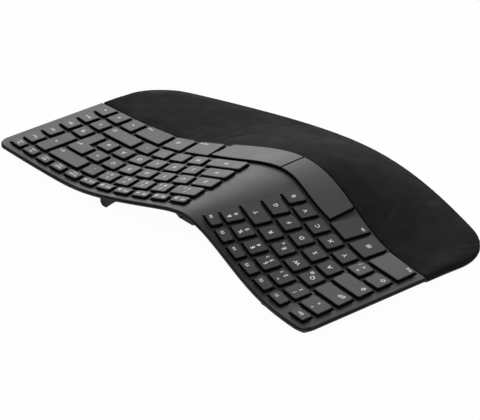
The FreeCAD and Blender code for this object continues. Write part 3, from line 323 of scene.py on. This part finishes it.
# Palm cushion: the pad's solid remeshed a little lower and blown up as cloth, its rim and underside held.
CUSHION_VOXEL = 1.4 * MM
CUSHION_SMOOTHING = 0.5
CUSHION_ROUNDS = 3
CUSHION_INSET = 0.35 * MM
CUSHION_HELD = 0.35            # a point is held where the upward share of its normal is less
CUSHION_QUALITY = 4
CUSHION_PRESSURE = 4.0
CUSHION_FRAMES = 20
CUSHION_CAP = 0.55 * MM


def evaluated(o):
    return o.evaluated_get(bpy.context.evaluated_depsgraph_get())


def cushion():
    scene = bpy.context.scene
    o = add("palm_cushion", nodes["palm_rest_pad"].data.copy())
    grid = o.modifiers.new("grid", "REMESH")
    grid.mode = "VOXEL"
    grid.voxel_size = CUSHION_VOXEL
    grid.use_smooth_shade = True
    soft = o.modifiers.new("soft", "SMOOTH")
    soft.factor = CUSHION_SMOOTHING
    soft.iterations = CUSHION_ROUNDS
    skin = bpy.data.meshes.new_from_object(evaluated(o))
    o.modifiers.clear()
    o.data = skin
    normals = [v.normal.copy() for v in skin.vertices]
    for v, n in zip(skin.vertices, normals):
        v.co -= n * CUSHION_INSET * max(n.z, 0.0)
    start = [v.co.copy() for v in skin.vertices]
    held = o.vertex_groups.new(name="held")
    held.add([i for i, n in enumerate(normals) if n.z < CUSHION_HELD], 1.0, "REPLACE")
    swell = o.modifiers.new("swell", "CLOTH")
    swell.settings.quality = CUSHION_QUALITY
    swell.settings.use_pressure = True
    swell.settings.uniform_pressure_force = CUSHION_PRESSURE
    swell.settings.vertex_group_mass = "held"
    swell.settings.effector_weights.gravity = 0.0
    swell.collision_settings.use_collision = False
    for f in range(1, CUSHION_FRAMES + 1):
        scene.frame_set(f)
    ends = [v.co.copy() for v in evaluated(o).to_mesh().vertices]
    o.modifiers.clear()
    scene.frame_set(1)
    for v, low, high in zip(skin.vertices, start, ends):
        move = high - low
        if move.length > CUSHION_CAP:
            move = move.normalized() * CUSHION_CAP
        v.co = low + move
    o.vertex_groups.clear()
    for p in skin.polygons:
        p.use_smooth = True
    o.modifiers.new("fine", "SUBSURF").render_levels = 1
    skin.materials.clear()
    skin.materials.append(palm_mat)
    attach(o, body_of_node["palm_rest_pad"])
    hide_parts("palm_rest_pad")


cushion()

# Rim band: a dark tapered lip on the housing, under the outer edge of the pad.
# Its outline is in millimetres, inward and up from that edge. It runs between two angles about a centre.
LIP = [(0.30, -0.35), (0.15, -0.90), (0.70, -1.90), (2.20, -2.60), (4.50, -2.60), (4.50, -0.35)]
LIP_CENTRE = Vector((-0.03, 0.04))
LIP_START = 190.0
LIP_END = 354.0
LIP_STEPS = 600
LIP_FLOOR = 0.8 * MM
UPRIGHT = 0.5                  # an outer wall's normal looks up or down by less


def under_edges(obj):
    """Edges of a node where an outer wall meets the underside."""
    slopes = {}
    for p in obj.data.polygons:
        for a, b in sides(obj.data, p):
            slopes.setdefault(frozenset((place(a), place(b))), []).append(p.normal.z)
    found = []
    for edge, z in slopes.items():
        if len(edge) == 2 and min(z) < -UPRIGHT < max(z) < UPRIGHT:
            found.append([Vector(end) / PLACES_PER_METRE for end in edge])
    return found


def outer_line(edges, centre, start, end, count):
    """Farthest edge points from a centre in plan, at even angles in degrees. An angle may have none."""
    line = []
    for i in range(count):
        angle = math.radians(start + (end - start) * i / (count - 1))
        ray = Vector((math.cos(angle), math.sin(angle)))
        side = Vector((-ray.y, ray.x))
        best = None
        for a, b in edges:
            sa = (a.xy - centre).dot(side)
            sb = (b.xy - centre).dot(side)
            if sa * sb > 0 or sa == sb:
                continue
            p = a.lerp(b, sa / (sa - sb))
            far = (p.xy - centre).dot(ray)
            if far > 0 and (best is None or far > best[0]):
                best = (far, p)
        if best:
            line.append(best[1])
    return line


def rim_band():
    line = outer_line(under_edges(nodes["palm_rest_pad"]), LIP_CENTRE, LIP_START, LIP_END, LIP_STEPS)
    bm = bmesh.new()
    rings = []
    for i, p in enumerate(line):
        before = line[max(i - 1, 0)]
        after = line[min(i + 1, len(line) - 1)]
        run = (after - before).xy.normalized()
        inward = Vector((-run.y, run.x, 0.0))
        if inward.xy.dot(LIP_CENTRE - p.xy) < 0:
            inward = -inward
        ring = []
        for x, z in LIP:
            q = p + inward * x * MM + Vector((0, 0, z * MM))
            q.z = max(q.z, LIP_FLOOR)
            ring.append(bm.verts.new(q))
        rings.append(ring)
    loft(bm, rings)
    bmesh.ops.recalc_face_normals(bm, faces=bm.faces)
    mesh_object("palm_rim_band", bm, case_mat, body_of_node["bottom_case"])


rim_band()

# Grip of the power switch: slanted ribs on its rear face.
RIB_COUNT = 6
RIB_LEAN = 0.5 * MM
RIB_HALF = 0.28 * MM
RIB_PROUD = 0.30 * MM
RIB_SUNK = 0.1 * MM
RIB_MARGIN = 0.35 * MM
RIB_NARROWING = 0.4
RIB_END_SPACE = 0.75           # from an end rib to the switch's end, in rib distances
RAY_START = 10.0 * MM


def switch_ribs():
    switch = nodes["power_switch"]
    low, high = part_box("power_switch")
    toward = Vector((0, -1, 0))
    side = Vector((RIB_HALF, 0, 0))
    narrow = side * RIB_NARROWING
    bm = bmesh.new()
    for i in range(RIB_COUNT):
        share = (i + RIB_END_SPACE) / (RIB_COUNT - 1 + 2 * RIB_END_SPACE)
        x = low[0] + (high[0] - low[0]) * share
        rings = []
        for z, dx in ((low[2] + RIB_MARGIN, -RIB_LEAN), (high[2] - RIB_MARGIN, RIB_LEAN)):
            hit, co, normal, _ = switch.ray_cast(Vector((x + dx, high[1] + RAY_START, z)), toward)
            if hit:
                foot = co - normal * RIB_SUNK
                ridge = co + normal * RIB_PROUD
                rings.append((foot - side, foot + side, ridge + narrow, ridge - narrow))
        if len(rings) == 2:
            loft(bm, [[bm.verts.new(p) for p in ring] for ring in rings])
    bmesh.ops.recalc_face_normals(bm, faces=bm.faces)
    mesh_object("power_switch_ribs", bm, rib_mat, body_of_node["power_switch"])


switch_ribs()

# Legends. Each cap's top face gives its middle, its normal and the direction of its row.
CAP_UP = 0.7                   # a cap's face looks up when the upward share of its normal is more
CAP_FLAT = 0.9999              # cosine of the angle within which faces are one top
ROW_LINE = 0.8                 # an edge runs along the row when its share of x is more


def islands(obj):
    """Caps of a node: lists of polygons joined by shared places."""
    me = obj.data
    first = {}
    parent = list(range(len(me.vertices)))

    def find(i):
        while parent[i] != i:
            parent[i] = parent[parent[i]]
            i = parent[i]
        return i

    for v in me.vertices:
        parent[find(v.index)] = find(first.setdefault(place(v.co), v.index))
    for p in me.polygons:
        for i in p.vertices[1:]:
            parent[find(i)] = find(p.vertices[0])
    groups = {}
    for p in me.polygons:
        groups.setdefault(find(p.vertices[0]), []).append(p)
    return list(groups.values())


def cap_frames(obj):
    """Frames on the tops of a node's caps, from left to right: middle, along the row, across it, normal."""
    found = []
    for polygons in islands(obj):
        up = [p for p in polygons if p.normal.z > CAP_UP]
        normal = max(up, key=lambda p: p.area * p.normal.z).normal.copy()
        edges = {}
        for p in up:
            if p.normal.dot(normal) > CAP_FLAT:
                for a, b in sides(obj.data, p):
                    if edges.pop((place(b), place(a)), None) is None:
                        edges[(place(a), place(b))] = b - a
        along = Vector()
        for d in edges.values():
            if abs(d.normalized().x) > ROW_LINE:
                along += d if d.x > 0 else -d
        along = (along - normal * along.dot(normal)).normalized()
        across = normal.cross(along)
        points = [Vector(start) / PLACES_PER_METRE for start, _ in edges]
        us = [p.dot(along) for p in points]
        vs = [p.dot(across) for p in points]
        top = max(p.dot(normal) for p in points)
        mid = along * (min(us) + max(us)) / 2 + across * (min(vs) + max(vs)) / 2 + normal * top
        found.append((mid, along, across, normal))
    return sorted(found, key=lambda f: f[0].x)


# Print: heights, width of the strokes, roundness, boldness, half the thickness, and lift off the cap.
LETTER = 5.2 * MM
PAIR = 4.8 * MM
WORD = 3.7 * MM
OUTER_WORD = 0.85 * WORD
CORNER_WORD = 0.92 * WORD
THIRD = 3.3 * MM
STROKE = 0.62 * MM
GLYPH_CURVE = 3
GLYPH_BOLD = 0.014
PRINT_HALF = 0.012 * MM
PRINT_LIFT = 0.014 * MM


def glyph(bm, text, size, cap, dx, dy):
    """A flat printed text in a cap's frame, dx and dy from its middle."""
    mid, along, across, normal = cap
    cu = bpy.data.curves.new("t", "FONT")
    cu.body = text
    cu.size = size
    cu.align_x = "CENTER"
    cu.align_y = "CENTER"
    cu.resolution_u = GLYPH_CURVE
    cu.offset = GLYPH_BOLD * size
    cu.extrude = PRINT_HALF
    o = add("t", cu)
    me = bpy.data.meshes.new_from_object(evaluated(o))
    m = Matrix((along, across, normal)).transposed().to_4x4()
    m.translation = mid + along * dx + across * dy + normal * PRINT_LIFT
    me.transform(m)
    bm.from_mesh(me)
    bpy.data.objects.remove(o)
    bpy.data.curves.remove(cu)
    bpy.data.meshes.remove(me)


def strokes(bm, lines, cap, dx, dy):
    """Printed strokes in a cap's frame: each line is a list of (x, y) in millimetres."""
    mid, along, across, normal = cap
    for line in lines:
        for start, end in zip(line, line[1:]):
            a = Vector(start) * MM
            b = Vector(end) * MM
            d = (b - a).normalized() * STROKE / 2
            n = Vector((-d.y, d.x))
            quad = []
            for q in (a - d - n, b + d - n, b + d + n, a - d + n):
                spot = mid + along * (dx + q.x) + across * (dy + q.y)
                quad.append(bm.verts.new(spot + normal * (PRINT_LIFT + PRINT_HALF)))
            bm.faces.new(quad)


# Marks, in millimetres from their own middle.
ARROW_LEFT = [[(2.2, 0), (-2.2, 0)], [(-0.9, 1.2), (-2.2, 0), (-0.9, -1.2)]]
ENTER_MARK = [[(2.2, 1.4), (2.2, -0.2), (-2.2, -0.2)], [(-0.9, 1.0), (-2.2, -0.2), (-0.9, -1.4)]]
SHIFT_MARK = [[(0, 1.9), (1.9, 0), (0.9, 0), (0.9, -1.6), (-0.9, -1.6), (-0.9, 0), (-1.9, 0), (0, 1.9)]]
CAPS_MARK = [[(0, 2.0), (1.7, 0.2), (0.8, 0.2), (0.8, -0.9), (-0.8, -0.9), (-0.8, 0.2), (-1.7, 0.2),
              (0, 2.0)], [(-0.8, -1.7), (0.8, -1.7)]]
TAB_MARK = [[(-2.2, 0.9), (1.8, 0.9)], [(0.9, 1.7), (1.8, 0.9), (0.9, 0.1)], [(2.3, 1.7), (2.3, 0.1)],
            [(2.2, -1.0), (-1.8, -1.0)], [(-0.9, -0.2), (-1.8, -1.0), (-0.9, -1.8)],
            [(-2.3, -0.2), (-2.3, -1.8)]]
SYSTEM_MARK = [[(-1.5, -1.5), (1.5, -1.5), (1.5, 1.5), (-1.5, 1.5), (-1.5, -1.5)],
               [(-0.5, 0), (0.5, 0)], [(0, -0.5), (0, 0.5)]]
UP_MARK = [[(0, -1.3), (0, 1.3)], [(-1.0, 0.3), (0, 1.3), (1.0, 0.3)]]
DOWN_MARK = [[(0, 1.3), (0, -1.3)], [(-1.0, -0.3), (0, -1.3), (1.0, -0.3)]]
LEFT_MARK = [[(1.3, 0), (-1.3, 0)], [(-0.3, 1.0), (-1.3, 0), (-0.3, -1.0)]]
RIGHT_MARK = [[(-1.3, 0), (1.3, 0)], [(0.3, 1.0), (1.3, 0), (0.3, -1.0)]]
GRID_MARK = [[(-1.3, -1.6), (1.3, -1.6), (1.3, 1.6), (-1.3, 1.6), (-1.3, -1.6)],
             [(-1.3, 0.7), (1.3, 0.7)], [(0, 0.7), (0, -1.6)], [(-1.3, -0.4), (1.3, -0.4)]]
LINE_MARK = [[(-2.4, 0), (2.4, 0)]]
SPEAKER_MARK = [[(-1.6, -0.7), (-0.6, -0.7), (0.6, -1.5), (0.6, 1.5), (-0.6, 0.7), (-1.6, 0.7), (-1.6, -0.7)],
                [(1.5, -0.9), (1.5, 0.9)]]
PLAY_MARK = [[(-1.2, -1.4), (1.2, 0), (-1.2, 1.4), (-1.2, -1.4)]]
BAR_MARK = [[(-1.0, -0.8), (-1.0, 0.8)], [(0, -0.8), (0, 0.8)], [(1.0, -0.8), (1.0, 0.8)]]
FUNCTION_MARKS = [PLAY_MARK, SPEAKER_MARK, BAR_MARK]

# What is printed on each node's caps, from left to right.
letters = {
    "top_letters_left": "QWERT", "top_letters_right": "ZUIOPÜ+", "home_letters_left": "ASDFG",
    "home_letters_right": "HJKLÖÄ#", "low_letters_left": "YXCVB", "low_letters_right": "NM,.-",
}
letter_thirds = {"Q": "@", "E": "€"}
pairs = {
    "digit_keys_left": [("1", "!", ""), ("2", '"', "2"), ("3", "§", "3"), ("4", "$", ""), ("5", "%", ""),
                        ("6", "&", "")],
    "digit_keys_right": [("7", "/", "{"), ("8", "(", "["), ("9", ")", "]"), ("0", "=", "}"),
                         ("ß", "?", "\\"), ("´", "`", "")],
    "caret_key": [("^", "°", "")],
    "angle_key": [("<", ">", "|")],
}
functions_left = ["F1", "F2", "F3", "F4", "F5", "F6"]
functions_right = ["F7", "F8", "F9", "F10", "F11", "F12"]
functions_outer = ["Druck", "Pause", "Einf", "Fn", "Sp"]
words = {
    "escape_key": "Esc", "home_key": "Pos1", "page_up_key": "Bild", "page_down_key": "Bild",
    "end_key": "Ende",
}
corner_words = {
    "left_alt_key": "Alt", "left_control_key": "Strg", "right_control_key": "Strg", "alt_graph_key": "Alt Gr",
}
marks = {
    "backspace_key": ARROW_LEFT, "enter_key": ENTER_MARK, "left_shift_key": SHIFT_MARK,
    "right_shift_key": SHIFT_MARK, "caps_lock_key": CAPS_MARK, "tab_key": TAB_MARK,
    "left_system_key": SYSTEM_MARK, "right_system_key": GRID_MARK, "up_key": UP_MARK, "down_key": DOWN_MARK,
    "left_arrow_key": LEFT_MARK, "right_arrow_key": RIGHT_MARK, "calculator_key": GRID_MARK,
    "delete_key": BAR_MARK,
}
# Corner words and marks that lie away from the cap's middle, in millimetres.
away = {
    "right_shift_key": (13.0, -2.2), "right_control_key": (9.0, -5.1), "right_system_key": (2.0, -1.0),
    "alt_graph_key": (7.0, -7.6), "enter_key": (4.9, 6.4), "backspace_key": (12.8, -3.0),
    "left_control_key": (-11.0, -5.5), "left_alt_key": (-6.2, -6.5), "left_shift_key": (-2.8, -2.2),
    "caps_lock_key": (-9.4, -2.2), "tab_key": (-6.5, -1.9),
}


def signs(n, i):
    """Print on cap i of a node: a text and its height, or strokes and None, and x and y in millimetres."""
    if n in letters:
        letter = letters[n][i]
        if letter in letter_thirds:
            yield letter, LETTER, -1.0, 0.0
            yield letter_thirds[letter], THIRD, 3.9, -3.2
        else:
            yield letter, LETTER, 0.0, 0.0
    if n in pairs:
        low, high, third = pairs[n][i]
        yield low, PAIR, -0.6, -3.0
        yield high, PAIR, -0.6, 2.9
        if third:
            yield third, THIRD, 4.3, -3.0
    if n == "function_keys_left":
        yield functions_left[i], WORD, 2.8, 0.0
    if n == "function_keys_right":
        yield functions_right[i], WORD, -3.4, 0.0
        yield FUNCTION_MARKS[i % len(FUNCTION_MARKS)], None, 4.0, 0.0
    if n == "function_keys_outer":
        yield functions_outer[i], OUTER_WORD, -0.6, 1.2
        yield LINE_MARK, None, -0.6, -1.9
    if n in words:
        yield words[n], WORD, 0.0, 0.0
    if n in corner_words:
        yield corner_words[n], CORNER_WORD, *away[n]
    if n in marks:
        yield marks[n], None, *away.get(n, (0.0, 0.0))


for n in nodes:
    if not (n.endswith("_key") or "_keys_" in n or "_letters_" in n):
        continue
    bm = bmesh.new()
    for i, cap in enumerate(cap_frames(nodes[n])):
        for sign, size, x, y in signs(n, i):
            if size:
                glyph(bm, sign, size, cap, x * MM, y * MM)
            else:
                strokes(bm, sign, cap, x * MM, y * MM)
    mesh_object("legend_" + n, bm, legend_mat, body_of_node[n])

# Floor: mostly plain white for the camera, so that it meets the white backdrop without a line.
FLOOR_HALF = 6.0
FLOOR_TILES = 8
FLOOR_DARK = (0.86, 0.86, 0.86)
FLOOR_LIGHT = (0.88, 0.88, 0.88)
FLOOR_PATCHES = 2.0
FLOOR_ROUGH = 0.8
FLOOR_WHITE = 0.97

bm = bmesh.new()
bmesh.ops.create_grid(bm, x_segments=FLOOR_TILES, y_segments=FLOOR_TILES, size=FLOOR_HALF)
me = bpy.data.meshes.new("studio_floor")
bm.to_mesh(me)
bm.free()
floor = add("studio_floor", me)
floor_mat, t, sh = material("studio_floor")
patches = noise(t, coords(t), FLOOR_PATCHES, detail=2.0)
t.links.new(tint(t, patches, FLOOR_DARK, FLOOR_LIGHT), sh.inputs["Base Color"])
sh.inputs["Roughness"].default_value = FLOOR_ROUGH
glow = t.nodes.new("ShaderNodeEmission")
glow.inputs["Color"].default_value = (1, 1, 1, 1)
glow.inputs["Strength"].default_value = 1.0
share = t.nodes.new("ShaderNodeMath")
share.operation = "MULTIPLY"
share.inputs[1].default_value = FLOOR_WHITE
mix = t.nodes.new("ShaderNodeMixShader")
t.links.new(t.nodes.new("ShaderNodeLightPath").outputs["Is Camera Ray"], share.inputs[0])
t.links.new(share.outputs[0], mix.inputs[0])
t.links.new(sh.outputs[0], mix.inputs[1])
t.links.new(glow.outputs[0], mix.inputs[2])
t.links.new(mix.outputs[0], t.nodes["Material Output"].inputs[0])
me.materials.append(floor_mat)

# World: white for the camera. It lights the part from the horizon, and less from above.
WORLD_LOW = (1.0, 1.0, 1.0, 1)
WORLD_HIGH = (0.30, 0.30, 0.31, 1)
WORLD_HIGH_FROM = 0.55
WORLD_STRENGTH = 0.8

world = bpy.data.worlds.new("studio")
bpy.context.scene.world = world
world.use_nodes = True
w = world.node_tree
w.nodes.clear()
out = w.nodes.new("ShaderNodeOutputWorld")
soft = w.nodes.new("ShaderNodeBackground")
soft.inputs["Strength"].default_value = WORLD_STRENGTH
white = w.nodes.new("ShaderNodeBackground")
white.inputs["Color"].default_value = (1, 1, 1, 1)
white.inputs["Strength"].default_value = 1.0
height = w.nodes.new("ShaderNodeSeparateXYZ")
fade = w.nodes.new("ShaderNodeValToRGB")
stops = fade.color_ramp.elements
stops[0].position, stops[0].color = 0.0, WORLD_LOW
stops[1].position, stops[1].color = WORLD_HIGH_FROM, WORLD_HIGH
mix = w.nodes.new("ShaderNodeMixShader")
w.links.new(w.nodes.new("ShaderNodeTexCoord").outputs["Generated"], height.inputs[0])
w.links.new(height.outputs["Z"], fade.inputs["Fac"])
w.links.new(fade.outputs[0], soft.inputs["Color"])
w.links.new(w.nodes.new("ShaderNodeLightPath").outputs["Is Camera Ray"], mix.inputs[0])
w.links.new(soft.outputs[0], mix.inputs[1])
w.links.new(white.outputs[0], mix.inputs[2])
w.links.new(mix.outputs[0], out.inputs[0])


def softbox(name, spot, target, size, power):
    """A rectangular light of a size in metres and a power in watts, turned to a target."""
    li = bpy.data.lights.new(name, "AREA")
    li.shape = "RECTANGLE"
    li.size, li.size_y = size
    li.energy = power
    o = add(name, li)
    o.location = spot
    o.rotation_euler = (Vector(target) - Vector(spot)).to_track_quat("-Z", "Y").to_euler()


softbox("key_light", (-0.5, 0.9, 1.5), (0, 0, 0), (1.2, 1.0), 14.0)
softbox("far_light", (1.2, -1.1, 0.6), (0, 0, 0.02), (1.6, 0.7), 9.0)
softbox("left_light", (-1.4, -0.4, 0.9), (0, 0, 0), (0.8, 0.8), 2.5)

# Camera from the fit to the photograph. Focal length, middle and width are in the photo's pixels.
PLACE = Vector((-0.77432, 0.71348, 0.6258))
RIGHT = Vector((-0.670895, -0.741531, -0.005629))
DOWN = Vector((-0.382601, 0.352638, -0.853969))
FORWARD = Vector((0.635229, -0.570769, -0.520294))
PHOTO_WIDTH = 480.0
PHOTO_FOCAL = 1491.3
PHOTO_MIDDLE = 237.17
SENSOR_WIDTH = 36.0

cam = bpy.data.cameras.new("camera")
camera = add("camera", cam)
turn = Matrix((RIGHT, -DOWN, -FORWARD)).transposed().to_4x4()
turn.translation = PLACE
camera.matrix_world = turn
cam.sensor_fit = "HORIZONTAL"
cam.sensor_width = SENSOR_WIDTH
cam.lens = PHOTO_FOCAL / PHOTO_WIDTH * SENSOR_WIDTH
cam.shift_x = (PHOTO_WIDTH / 2 - PHOTO_MIDDLE) / PHOTO_WIDTH
cam.clip_start = 0.05
cam.clip_end = 30.0
bpy.context.scene.camera = camera

bpy.context.scene.view_settings.view_transform = "Standard"
